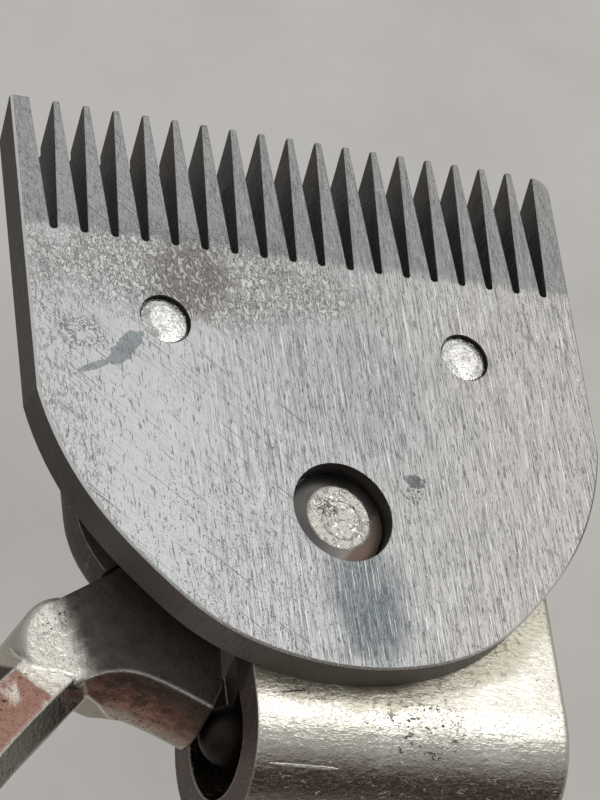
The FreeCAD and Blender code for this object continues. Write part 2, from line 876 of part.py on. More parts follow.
def make_nut():
    top = z_cap_back - tension_washer_dish - tension_washer_thickness - plain_washer_thickness - sliding_gap
    body = turned(
        [
            (0, 0),
            (nut_lip_radius, 0),
            (nut_waist_radius, nut_waist_radius - nut_lip_radius),
            (nut_waist_radius, top - nut_base_height - nut_neck_slope),
            (nut_base_radius, top - nut_base_height),
            (nut_base_radius, top - nut_seat_chamfer),
            (nut_base_radius - nut_seat_chamfer, top),
            (0, top),
        ]
    )
    tip = wing_span / 2.0
    high = top - wing_drop
    low = nut_foot + (high - nut_foot) * wing_arch
    shape = outline(
        [
            (0, high, 0),
            (nut_waist_radius + wing_root, high, wing_top_round),
            (tip, nut_foot + (high - nut_foot) * wing_shoulder, wing_tip_round),
            (tip, nut_foot, wing_foot_round),
            (tip - wing_foot, nut_foot, wing_foot_round),
            (nut_waist_radius + wing_root, low, wing_arch_round),
            (0, low, 0),
        ]
    )
    wing = prism(shape, -wing_thickness / 2.0, wing_thickness / 2.0)
    wing.rotate(vec(0, 0, 0), vec(1, 0, 0), 90)
    other = wing.copy()
    other.rotate(vec(0, 0, 0), vec(0, 0, 1), 180)
    nut = body.fuse([wing, other])
    bore = post(0, 0, bolt_radius + running_gap, nut_closed_end, top + 1)
    nut = nut.cut(bore)
    nut.rotate(vec(0, 0, 0), vec(0, 0, 1), wing_angle)
    return nut


save(make_comb(), "comb_plate")
save(make_pin(-pin_x), "comb_pin_left")
save(make_pin(pin_x), "comb_pin_right")
save(make_bolt(), "pivot_bolt")
save(make_cutter(), "cutter_plate")
save(make_shoe(), "drive_shoe")
save(make_drive_pin(), "drive_pin")
save(make_bush(), "lever_bush")
save(make_moving_handle(), "moving_handle")
save(make_fixed_handle(), "fixed_handle")
save(make_follower(), "spring_follower")
save(make_spring(), "return_spring")
save(make_tension_washer(), "tension_washer")
save(make_plain_washer(), "plain_washer")
save(make_nut(), "thumb_nut")
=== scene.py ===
import bpy
import math
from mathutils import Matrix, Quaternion, Vector


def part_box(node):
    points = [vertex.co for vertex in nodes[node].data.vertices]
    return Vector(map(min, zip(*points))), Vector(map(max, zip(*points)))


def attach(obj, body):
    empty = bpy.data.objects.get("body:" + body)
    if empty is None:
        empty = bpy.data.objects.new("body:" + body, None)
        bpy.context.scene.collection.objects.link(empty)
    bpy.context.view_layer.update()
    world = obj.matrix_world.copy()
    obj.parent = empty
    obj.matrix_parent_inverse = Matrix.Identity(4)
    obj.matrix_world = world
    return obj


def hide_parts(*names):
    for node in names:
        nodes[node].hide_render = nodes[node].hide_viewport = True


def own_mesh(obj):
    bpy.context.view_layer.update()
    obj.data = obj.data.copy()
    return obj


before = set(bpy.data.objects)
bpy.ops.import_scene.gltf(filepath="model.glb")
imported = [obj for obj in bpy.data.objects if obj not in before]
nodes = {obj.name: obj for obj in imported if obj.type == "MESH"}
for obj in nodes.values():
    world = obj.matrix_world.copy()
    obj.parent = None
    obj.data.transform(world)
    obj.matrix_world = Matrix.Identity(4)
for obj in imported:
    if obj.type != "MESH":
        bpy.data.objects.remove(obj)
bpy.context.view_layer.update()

mmPerMetre = 1000.0
grainRoughness = 0.6    # how strongly the fine part of a noise shows
bevelSamples = 4
middleLevel = 0.5       # of a noise, and of the height before any layer


def toLinear(hexColour):
    # sRGB hex to the linear values that the shaders work in
    parts = [int(hexColour[i:i + 2], 16) / 255 for i in (1, 3, 5)]
    return tuple(p / 12.92 if p <= 0.04045 else ((p + 0.055) / 1.055) ** 2.4 for p in parts) + (1.0,)


def addNode(tree, kind, settings=None, inputs=None):
    # one node, its settings, and inputs that are sockets, numbers, vectors or hex colours
    node = tree.nodes.new(kind)
    for name, value in (settings or {}).items():
        setattr(node, name, value)
    for name, value in (inputs or {}).items():
        if isinstance(value, bpy.types.NodeSocket):
            tree.links.new(value, node.inputs[name])
        elif isinstance(value, str):
            node.inputs[name].default_value = toLinear(value)
        else:
            node.inputs[name].default_value = value
    return node


def newMaterial(name):
    material = bpy.data.materials.new(name)
    material.use_nodes = True
    material.node_tree.nodes.clear()
    return material, material.node_tree


def grain(tree, place, size, turn=0.0, detail=3.0, twist=0.0):
    # noise whose blotches are about size millimetres along x, y and z, turned about z
    laid = addNode(tree, "ShaderNodeMapping", {"vector_type": "TEXTURE"},
                   {"Vector": place, "Rotation": (0, 0, math.radians(turn)), "Scale": size})
    made = addNode(tree, "ShaderNodeTexNoise", {},
                   {"Vector": laid.outputs[0], "Scale": 1.0, "Detail": detail,
                    "Roughness": grainRoughness, "Distortion": twist})
    return made.outputs[0]


def markArea(tree, place, normal, area, areas):
    # where a layer lies: 1 inside, 0 outside, with a soft and uneven edge; all sizes in millimetres
    if "centre" in area:                  # inside an ellipsoid
        laid = addNode(tree, "ShaderNodeMapping", {"vector_type": "TEXTURE"},
                       {"Vector": place, "Location": area["centre"], "Scale": area["reach"],
                        "Rotation": (0, 0, math.radians(area.get("turn", 0)))})
        measure = addNode(tree, "ShaderNodeVectorMath", {"operation": "LENGTH"},
                          {0: laid.outputs[0]}).outputs[1]
    elif "axis" in area:                  # by the distance from an upright axis
        flat = addNode(tree, "ShaderNodeVectorMath", {"operation": "MULTIPLY_ADD"},
                       {0: place, 1: (1, 1, 0), 2: (-area["axis"][0], -area["axis"][1], 0)})
        measure = addNode(tree, "ShaderNodeVectorMath", {"operation": "LENGTH"},
                          {0: flat.outputs[0]}).outputs[1]
    elif "past" in area:                  # by how far along a direction it lies
        measure = addNode(tree, "ShaderNodeVectorMath", {"operation": "DOT_PRODUCT"},
                          {0: place, 1: area["past"]}).outputs[1]
    elif "facing" in area:                # by the way the surface faces
        measure = addNode(tree, "ShaderNodeVectorMath", {"operation": "DOT_PRODUCT"},
                          {0: normal, 1: area["facing"]}).outputs[1]
    elif "edge" in area:                  # along sharp edges
        rounded = addNode(tree, "ShaderNodeBevel", {"samples": bevelSamples},
                          {"Radius": area["edge"] / mmPerMetre})
        real = addNode(tree, "ShaderNodeNewGeometry")
        measure = addNode(tree, "ShaderNodeVectorMath", {"operation": "DOT_PRODUCT"},
                          {0: rounded.outputs[0], 1: real.outputs["Normal"]}).outputs[1]
    else:                                 # cloudy patches
        measure = grain(tree, place, area["patch"])
    if "wobble" in area:
        shake = grain(tree, place, (area["wobbleSize"],) * 3)
        measure = addNode(tree, "ShaderNodeMath", {"operation": "MULTIPLY_ADD"},
                          {0: shake, 1: area["wobble"], 2: measure}).outputs[0]
        measure = addNode(tree, "ShaderNodeMath", {"operation": "SUBTRACT"},
                          {0: measure, 1: area["wobble"] / 2}).outputs[0]
    mask = addNode(tree, "ShaderNodeMapRange", {"interpolation_type": "SMOOTHSTEP"},
                   {0: measure, 1: area["from"], 2: area["to"]}).outputs[0]
    for name in area.get("within", ()):
        mask = addNode(tree, "ShaderNodeMath", {"operation": "MULTIPLY"},
                       {0: mask, 1: areas[name]}).outputs[0]
    return mask


def makeFinish(name, values):
    # a metal built up from its layers in order, each over its own area or all over, with its own
    # colour, shine, metal share and relief
    material, tree = newMaterial(name)
    source = addNode(tree, "ShaderNodeTexCoord")
    normal = source.outputs["Normal"]
    # the part's own coordinates, in millimetres
    place = addNode(tree, "ShaderNodeVectorMath", {"operation": "SCALE"},
                    {0: source.outputs["Object"], "Scale": mmPerMetre}).outputs[0]
    areas = {}
    for areaName, area in values["areas"].items():
        areas[areaName] = markArea(tree, place, normal, area, areas)
    colour = values["base"]
    sums = {"rough": values["rough"], "metal": 1.0, "height": middleLevel}
    for layer in values["layers"]:
        if "size" in layer:
            given = {key: layer[key] for key in ("turn", "detail", "twist") if key in layer}
            mask = grain(tree, place, layer["size"], **given)
            if layer.get("lines"):        # along the noise's middle level, which winds about
                mask = addNode(tree, "ShaderNodeMath", {"operation": "SUBTRACT"},
                               {0: mask, 1: middleLevel}).outputs[0]
                mask = addNode(tree, "ShaderNodeMath", {"operation": "ABSOLUTE"}, {0: mask}).outputs[0]
            mask = addNode(tree, "ShaderNodeMapRange", {"interpolation_type": "SMOOTHSTEP"},
                           {0: mask, 1: layer["from"], 2: layer["to"]}).outputs[0]
            if "on" in layer:
                mask = addNode(tree, "ShaderNodeMath", {"operation": "MULTIPLY"},
                               {0: mask, 1: areas[layer["on"]]}).outputs[0]
        else:
            mask = areas[layer["on"]]
        if "colour" in layer:
            share = addNode(tree, "ShaderNodeMath", {"operation": "MULTIPLY"},
                            {0: mask, 1: layer.get("amount", 1.0)}).outputs[0]
            colour = addNode(tree, "ShaderNodeMix", {"data_type": "RGBA"},
                             {0: share, 6: colour, 7: layer["colour"]}).outputs[2]
        for part in ("rough", "metal", "height"):
            if part in layer:
                # shine and metal share stay between 0 and 1, the height need not
                settings = {"operation": "MULTIPLY_ADD", "use_clamp": part != "height"}
                sums[part] = addNode(tree, "ShaderNodeMath", settings,
                                     {0: mask, 1: layer[part], 2: sums[part]}).outputs[0]
    # hard corners catch the light as if slightly rounded
    soft = addNode(tree, "ShaderNodeBevel", {"samples": bevelSamples},
                   {"Radius": values["softEdge"] / mmPerMetre})
    bump = addNode(tree, "ShaderNodeBump", {},
                   {"Strength": 1.0, "Distance": values["relief"] / mmPerMetre,
                    "Height": sums["height"], "Normal": soft.outputs[0]})
    shader = addNode(tree, "ShaderNodeBsdfPrincipled", {},
                     {"Base Color": colour, "Roughness": sums["rough"], "Metallic": sums["metal"],
                      "Normal": bump.outputs[0]})
    addNode(tree, "ShaderNodeOutputMaterial", {}, {"Surface": shader.outputs[0]})
    return material


# camera: angles in degrees, places in metres, lens and sensor in millimetres
cameraView = {"azimuth": -41.8, "elevation": 50.36, "roll": 41.4, "distance": 0.2819,
              "aimX": -0.00282, "aimY": 0.01114, "lens": 139.5, "sensor": 36.0, "nearest": 0.01}


def placeCamera():
    a, e = math.radians(cameraView["azimuth"]), math.radians(cameraView["elevation"])
    back = Vector((math.sin(a) * math.cos(e), -math.cos(a) * math.cos(e), math.sin(e)))
    aim = Vector((cameraView["aimX"], cameraView["aimY"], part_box("comb_plate")[1].z))
    data = bpy.data.cameras.new("camera")
    data.lens = cameraView["lens"]
    data.sensor_fit = "VERTICAL"
    data.sensor_height = cameraView["sensor"]
    data.clip_start = cameraView["nearest"]
    camera = bpy.data.objects.new("camera", data)
    bpy.context.scene.collection.objects.link(camera)
    camera.rotation_mode = "QUATERNION"
    camera.location = aim + back * cameraView["distance"]
    turn = (-back).to_track_quat("-Z", "Y")
    camera.rotation_quaternion = turn @ Quaternion((0, 0, 1), math.radians(cameraView["roll"]))
    bpy.context.scene.camera = camera


# floor, lamps and world: sizes in metres, but the mottling's in millimetres
studio = {"floorColour": "#c7c4c0", "floorMottle": "#c0bdb8", "floorSize": 4.0, "floorRough": 0.85,
          "floorShine": 0.2, "floorOwnLight": 0.75, "floorGlow": 0.9,
          "mottleSize": 28.0, "mottleDetail": 4.0, "mottleFrom": 0.4, "mottleTo": 0.7,
          "mainAim": (0.43, 0.48, 0.77), "mainSide": 0.9, "mainFar": 1.1, "mainPower": 2.15,
          "topAim": (0.43, 0.10, 0.90), "topSide": 0.42, "topFar": 1.0, "topPower": 1.1,
          "skyColour": "#c4c5c6", "skyStrength": 1.0, "lowColour": "#4a403b", "backColour": "#b8b5b1",
          "rearFrom": -0.2, "rearTo": -0.75, "lowFrom": 0.72, "lowTo": 0.48}


def addLamp(name, aim, far, side, power):
    data = bpy.data.lights.new(name, "AREA")
    data.shape = "SQUARE"
    data.size = side
    data.energy = power
    lamp = bpy.data.objects.new(name, data)
    bpy.context.scene.collection.objects.link(lamp)
    direction = Vector(aim).normalized()
    lamp.location = direction * far
    lamp.rotation_mode = "QUATERNION"
    lamp.rotation_quaternion = (-direction).to_track_quat("-Z", "Y")


def buildStudio():
    half = studio["floorSize"] / 2
    mesh = bpy.data.meshes.new("floor")
    mesh.from_pydata([(-half, -half, 0), (half, -half, 0), (half, half, 0), (-half, half, 0)], [],
                     [(0, 1, 2, 3)])
    floor = bpy.data.objects.new("floor", mesh)
    bpy.context.scene.collection.objects.link(floor)
    # matt painted board: barely mottled, with hardly any shine
    material, tree = newMaterial("paleFloor")
    source = addNode(tree, "ShaderNodeTexCoord")
    place = addNode(tree, "ShaderNodeVectorMath", {"operation": "SCALE"},
                    {0: source.outputs["Object"], "Scale": mmPerMetre}).outputs[0]
    cloud = grain(tree, place, (studio["mottleSize"],) * 3, detail=studio["mottleDetail"])
    mottle = addNode(tree, "ShaderNodeMapRange", {"interpolation_type": "SMOOTHSTEP"},
                     {0: cloud, 1: studio["mottleFrom"], 2: studio["mottleTo"]})
    colour = addNode(tree, "ShaderNodeMix", {"data_type": "RGBA"},
                     {0: mottle.outputs[0], 6: studio["floorColour"],
                      7: studio["floorMottle"]}).outputs[2]
    matt = addNode(tree, "ShaderNodeBsdfPrincipled", {},
                   {"Base Color": colour, "Roughness": studio["floorRough"],
                    "Specular IOR Level": studio["floorShine"]})
    # what the eye and the metal see of the board is evened out; it still takes the shadow
    even = addNode(tree, "ShaderNodeEmission", {}, {"Color": colour, "Strength": studio["floorGlow"]})
    path = addNode(tree, "ShaderNodeLightPath")
    seen = addNode(tree, "ShaderNodeMath", {"operation": "MAXIMUM"},
                   {0: path.outputs["Is Camera Ray"], 1: path.outputs["Is Glossy Ray"]})
    share = addNode(tree, "ShaderNodeMath", {"operation": "MULTIPLY"},
                    {0: seen.outputs[0], 1: studio["floorOwnLight"]})
    both = addNode(tree, "ShaderNodeMixShader", {},
                   {0: share.outputs[0], 1: matt.outputs[0], 2: even.outputs[0]})
    addNode(tree, "ShaderNodeOutputMaterial", {}, {"Surface": both.outputs[0]})
    mesh.materials.append(material)
    addLamp("mainSoftbox", studio["mainAim"], studio["mainFar"], studio["mainSide"],
            studio["mainPower"])
    addLamp("topSoftbox", studio["topAim"], studio["topFar"], studio["topSide"], studio["topPower"])
    world = bpy.data.worlds.new("studioWorld")
    bpy.context.scene.world = world
    world.use_nodes = True
    tree = world.node_tree
    tree.nodes.clear()
    direction = addNode(tree, "ShaderNodeTexCoord")
    axes = addNode(tree, "ShaderNodeSeparateXYZ", {}, {0: direction.outputs["Generated"]})
    # a light room, dark and warm low down on the handles' side
    rearward = addNode(tree, "ShaderNodeMapRange", {"interpolation_type": "SMOOTHSTEP"},
                       {0: axes.outputs[1], 1: studio["rearFrom"], 2: studio["rearTo"]})
    low = addNode(tree, "ShaderNodeMapRange", {"interpolation_type": "SMOOTHSTEP"},
                  {0: axes.outputs[2], 1: studio["lowFrom"], 2: studio["lowTo"]})
    dim = addNode(tree, "ShaderNodeMath", {"operation": "MULTIPLY"},
                  {0: rearward.outputs[0], 1: low.outputs[0]})
    colour = addNode(tree, "ShaderNodeMix", {"data_type": "RGBA"},
                     {0: dim.outputs[0], 6: studio["skyColour"], 7: studio["lowColour"]}).outputs[2]
    # past the board's far edge the eye sees the board's own tone
    path = addNode(tree, "ShaderNodeLightPath")
    seen = addNode(tree, "ShaderNodeMix", {"data_type": "RGBA"},
                   {0: path.outputs["Is Camera Ray"], 6: colour, 7: studio["backColour"]}).outputs[2]
    shader = addNode(tree, "ShaderNodeBackground", {},
                     {"Color": seen, "Strength": studio["skyStrength"]})
    addNode(tree, "ShaderNodeOutputWorld", {}, {"Surface": shader.outputs[0]})


# the comb: carbon steel, surface ground along its teeth and worn, so a satin grey of fine lines with
# stains and pits. The grinding grit's 0.05 mm lines are drawn about 0.12 mm apart, so that they show.
combSteel = {
    "base": "#a8a7a5", "rough": 0.34, "relief": 0.026, "softEdge": 0.12,
    "areas": {
        "notFlat": {"facing": (0, 0, 1), "from": 0.98, "to": 0.93},
        # the chamfer band, where a highlight is painted
        "rimHighlightBand": {"facing": (0, 0, 1), "from": 0.55, "to": 0.66, "within": ("notFlat",)},
        "side": {"facing": (0, 0, 1), "from": 0.66, "to": 0.55},
        "rearSide": {"past": (0, -1, 0), "from": 0.0, "to": 8.0, "within": ("side",)},
        "rightRimShade": {"past": (1, 0, 0), "from": 21.0, "to": 26.0, "within": ("rimHighlightBand",)},
        "rightHalf": {"past": (1, -0.15, 0), "from": 0.0, "to": 22.0, "wobble": 9.0,
                      "wobbleSize": 9.0},
        "leftHalf": {"past": (-1, 0.1, 0), "from": -4.0, "to": 7.0, "wobble": 8.0,
                     "wobbleSize": 5.0},
        "nicked": {"centre": (-11.5, -6.0, 28), "reach": (8.5, 8.5, 9), "from": 1.3, "to": 0.6,
                   "wobble": 0.7, "wobbleSize": 3.0},
        "roots": {"centre": (-11.5, 23.2, 28), "reach": (18, 5.4, 9), "from": 1.3, "to": 0.55,
                  "wobble": 0.9, "wobbleSize": 2.6},
        "rootBand": {"past": (0, 1, 0), "from": 20.0, "to": 25.0, "wobble": 4.0, "wobbleSize": 2.0},
        "brown": {"centre": (-12.2, 22.6, 28), "reach": (4.4, 4.2, 9), "from": 1.3, "to": 0.6,
                  "wobble": 1.0, "wobbleSize": 1.6},
        "loops": {"centre": (-23.8, 15.5, 28), "reach": (2.2, 1.7, 9), "from": 1.3, "to": 0.7,
                  "wobble": 1.2, "wobbleSize": 1.2},
        "leftStrip": {"past": (-1, -0.12, 0), "from": 21.8, "to": 23.6, "wobble": 2.5,
                      "wobbleSize": 1.5},
        "wing": {"centre": (-19.6, 14.55, 28), "reach": (0.85, 2.4, 9), "turn": -40, "from": 1.06,
                 "to": 0.98, "wobble": 1.3, "wobbleSize": 0.9},
        "wingTip": {"centre": (-22.9, 12.15, 28), "reach": (1.7, 0.36, 9), "turn": 24, "from": 1.1,
                    "to": 0.95, "wobble": 0.6, "wobbleSize": 0.6},
        "spot": {"centre": (7.9, 3.9, 28), "reach": (0.95, 0.65, 9), "from": 1.2, "to": 0.8,
                 "wobble": 2.6, "wobbleSize": 0.4},
        "spotTail": {"centre": (7.5, 2.5, 28), "reach": (1.0, 1.1, 9), "from": 1.2, "to": 0.8,
                     "wobble": 0.8, "wobbleSize": 0.6},
        "brushed": {"past": (1, -0.1, 0), "from": -22.0, "to": -6.0, "wobble": 7.0,
                    "wobbleSize": 5.0},
        "underBolt": {"centre": (1.3, -8.9, 28), "reach": (4.1, 6.6, 9), "turn": 2, "from": 1.25,
                      "to": 0.55, "wobble": 0.6, "wobbleSize": 2.5},
        "byBolt": {"centre": (3.5, 12.5, 28), "reach": (7.0, 7.0, 9), "from": 1.4, "to": 0.4,
                   "wobble": 0.8, "wobbleSize": 3.0},
        "byPin": {"centre": (-16.2, 20.4, 28), "reach": (2.6, 2.6, 9), "from": 1.3, "to": 0.9,
                  "wobble": 1.4, "wobbleSize": 1.2},
        "teeth": {"past": (0, 1, 0), "from": 25.9, "to": 27.2, "wobble": 1.8, "wobbleSize": 1.2}},
    "layers": [
        {"size": (8, 12, 9), "from": 0.42, "to": 0.7, "colour": "#9c9fa0", "amount": 0.5},
        # painted sheen: the left part and the right-hand part of the sole painted lighter, the
        # right-hand one warmer
        {"on": "leftHalf", "colour": "#b3b4b4", "amount": 0.55},
        {"on": "rightHalf", "colour": "#b0a9a2", "amount": 0.7},
        {"on": "byBolt", "colour": "#939594", "amount": 0.6},
        {"on": "underBolt", "colour": "#5f676a", "amount": 0.95},
        {"on": "byPin", "colour": "#7f8486", "amount": 0.4},
        {"on": "brushed", "size": (0.7, 14, 6), "turn": 1.5, "from": 0.48, "to": 0.7,
         "colour": "#8c9091", "amount": 0.4},
        {"on": "brushed", "size": (0.12, 4.6, 3), "turn": 1.5, "from": 0.48, "to": 0.66,
         "colour": "#dededa", "amount": 0.58, "height": 0.4, "rough": -0.05},
        {"on": "brushed", "size": (0.11, 3.2, 3), "turn": 1.0, "from": 0.51, "to": 0.67,
         "colour": "#6e7173", "amount": 0.48, "height": -0.5, "rough": 0.06},
        {"size": (0.16, 1.1, 3), "turn": 2.5, "from": 0.6, "to": 0.67, "colour": "#53575a",
         "amount": 0.6, "height": -0.8},
        {"on": "brushed", "size": (0.3, 9.0, 3), "turn": 0.5, "from": 0.64, "to": 0.7,
         "colour": "#5d6164", "amount": 0.5, "height": -0.6},
        {"size": (0.14, 0.5, 1), "turn": 2.0, "from": 0.5, "to": 0.68, "colour": "#c9c8c4",
         "amount": 0.35, "height": 0.3},
        {"on": "leftHalf", "size": (0.11, 7.0, 3), "turn": 51.7, "from": 0.63, "to": 0.7,
         "colour": "#6c7073", "amount": 0.6, "height": -0.6},
        {"on": "leftHalf", "size": (0.14, 5.0, 3), "turn": 49.0, "from": 0.61, "to": 0.7,
         "colour": "#e2e2e0", "amount": 0.5, "height": 0.4},
        {"on": "nicked", "size": (0.28, 0.33, 1), "from": 0.63, "to": 0.67, "colour": "#515456",
         "amount": 0.7, "height": -1.2},
        {"on": "rootBand", "size": (0.4, 1.3, 1), "turn": 2, "twist": 0.6, "from": 0.5, "to": 0.6,
         "colour": "#c9c9c2", "amount": 0.45, "height": 0.5},
        {"on": "roots", "colour": "#a3a39e", "amount": 0.3, "rough": 0.05},
        {"on": "brown", "colour": "#7b6c64", "amount": 0.7, "rough": 0.08, "metal": -0.3},
        {"on": "roots", "size": (0.42, 0.75, 1), "turn": 6, "detail": 3.5, "twist": 0.7,
         "from": 0.49, "to": 0.58, "colour": "#cccbc5", "amount": 0.62, "height": 0.9},
        {"on": "roots", "size": (0.42, 0.75, 1), "turn": 6, "detail": 3.5, "twist": 0.7,
         "lines": True, "from": 0.03, "to": 0.01, "colour": "#5f605c", "amount": 0.6,
         "height": -0.5},
        {"on": "loops", "size": (1.0, 1.0, 1), "twist": 1.5, "detail": 1.0, "lines": True,
         "from": 0.04, "to": 0.015, "colour": "#6a6b61", "amount": 0.75, "height": -0.7},
        {"on": "leftStrip", "size": (0.3, 0.7, 1), "turn": 6, "twist": 0.8, "from": 0.54,
         "to": 0.62, "colour": "#8b8783", "amount": 0.6, "height": -0.6},
        {"on": "wing", "colour": "#868a8b", "rough": 0.08},
        {"on": "wingTip", "colour": "#868a8b", "amount": 0.9, "rough": 0.08},
        {"on": "spot", "colour": "#5a5c5d", "amount": 0.85, "height": -0.8},
        {"on": "spotTail", "size": (0.3, 0.4, 1), "twist": 0.8, "from": 0.56, "to": 0.61,
         "colour": "#5f6061", "amount": 0.8, "height": -1.0},
        {"on": "teeth", "colour": "#7f8080", "amount": 0.74, "rough": 0.04},
        {"on": "teeth", "size": (0.3, 0.7, 1), "from": 0.55, "to": 0.65, "colour": "#a3a3a1",
         "amount": 0.5, "height": 0.4},
        # dark scale on the sides, darkened further as painted shade
        {"on": "side", "colour": "#47423e", "rough": 0.14, "metal": -0.5},
        {"on": "side", "size": (1.6, 1.6, 0.5), "from": 0.45, "to": 0.7, "colour": "#54504c",
         "amount": 0.7},
        # the rear side painted lighter, as where the light falls
        {"on": "rearSide", "colour": "#7d766f", "amount": 0.8},
        # painted highlight along the chamfer, and painted shade on the chamfer at the right-hand end
        {"on": "rimHighlightBand", "colour": "#e4e4df", "rough": -0.06},
        {"on": "rightRimShade", "colour": "#57534e", "amount": 0.9}]}

# the cutter: the same steel, oily and mostly hidden, so duller, with the same grinding lines
cutterSteel = {
    "base": "#8d8c89", "rough": 0.34, "relief": 0.02, "softEdge": 0.12,
    "areas": {"side": {"facing": (0, 0, 1), "from": 0.66, "to": 0.55}},
    "layers": [
        {"size": (5, 7, 5), "from": 0.42, "to": 0.7, "colour": "#6d6a66", "amount": 0.6},
        {"size": (0.13, 3.0, 3), "from": 0.48, "to": 0.66, "colour": "#b9b8b3", "amount": 0.5,
         "height": 0.5},
        {"size": (0.17, 1.3, 3), "from": 0.6, "to": 0.67, "colour": "#4b4845", "amount": 0.6,
         "height": -0.8},
        # dark scale on the sides, darkened further as painted shade
        {"on": "side", "colour": "#33302d", "rough": 0.12, "metal": -0.3},
        {"on": "side", "size": (1.2, 1.2, 0.5), "from": 0.45, "to": 0.7, "colour": "#4c4743",
         "amount": 0.7}]}

# the bolt: mild steel, turned, then worn bright in the middle of its head, so pale with faint circles
# there and grey round it
boltSteel = {
    "base": "#686562", "rough": 0.3, "relief": 0.05, "softEdge": 0.15,
    "areas": {
        "worn": {"axis": (0.15, 0.0), "from": 3.3, "to": 2.9, "wobble": 0.7, "wobbleSize": 0.7},
        "rustSide": {"past": (0.8, -0.6, 0), "from": 2.5, "to": 3.1, "wobble": 0.8,
                     "wobbleSize": 0.6},
        "paleSide": {"past": (1, 0, 0), "from": 0.8, "to": 2.6, "wobble": 0.8, "wobbleSize": 0.6},
        "side": {"facing": (0, 0, 1), "from": 0.66, "to": 0.45},
        "ringOut": {"axis": (0.3, -0.2), "from": 1.75, "to": 1.9},
        "ring": {"axis": (0.3, -0.2), "from": 2.12, "to": 1.98, "within": ("ringOut",)},
        "dented": {"centre": (-0.9, 0.9, 24), "reach": (1.1, 1.2, 9), "from": 1.3, "to": 0.7,
                   "wobble": 0.9, "wobbleSize": 0.7}},
    "layers": [
        {"size": (1.5, 1.5, 1.5), "from": 0.4, "to": 0.7, "colour": "#5d5957", "amount": 0.6},
        {"on": "paleSide", "colour": "#9f9a92", "amount": 0.8},
        {"on": "rustSide", "colour": "#6b5546", "amount": 0.8, "rough": 0.1, "metal": -0.4},
        {"on": "worn", "colour": "#a9a69e", "rough": -0.02, "height": 0.3},
        {"on": "worn", "size": (0.55, 0.55, 0.55), "twist": 0.8, "from": 0.5, "to": 0.64,
         "colour": "#e8e6df", "amount": 0.7, "height": 0.5},
        {"on": "worn", "size": (0.4, 0.5, 0.5), "twist": 1.0, "from": 0.56, "to": 0.66,
         "colour": "#8b867f", "amount": 0.7, "height": -0.5},
        {"on": "ring", "size": (1.4, 1.4, 1.4), "from": 0.44, "to": 0.52, "colour": "#8d8982",
         "amount": 0.7, "height": -0.6},
        {"on": "dented", "size": (1.0, 1.0, 1.0), "twist": 1.0, "detail": 1.0, "lines": True,
         "from": 0.045, "to": 0.015, "colour": "#5a5146", "amount": 0.85, "height": -0.8},
        # painted shade on the head's sides
        {"on": "side", "colour": "#35312e", "rough": 0.12, "metal": -0.3},
        {"on": "side", "size": (0.8, 0.8, 0.4), "from": 0.5, "to": 0.62, "colour": "#5b5550",
         "amount": 0.7}]}

# the comb's pins: soft bright steel, headed over and polished by wear, so nearly white, with
# shallow dents
pinSteel = {
    "base": "#dcdad4", "rough": 0.22, "relief": 0.04, "softEdge": 0.15,
    "areas": {"side": {"facing": (0, 0, 1), "from": 0.5, "to": 0.3}},
    "layers": [
        {"size": (1.3, 1.3, 1.3), "from": 0.45, "to": 0.7, "colour": "#b0aca5", "amount": 0.7,
         "height": -0.4},
        {"size": (0.45, 0.45, 0.45), "twist": 0.8, "from": 0.52, "to": 0.66, "colour": "#f1efea",
         "amount": 0.8, "height": 0.5},
        {"size": (0.5, 0.5, 0.5), "twist": 1.2, "lines": True, "from": 0.014, "to": 0.004,
         "colour": "#8b8780", "amount": 0.5, "height": -0.4},
        # painted shade on the pins' steep sides
        {"on": "side", "colour": "#2c2927", "rough": 0.15, "metal": -0.3}]}
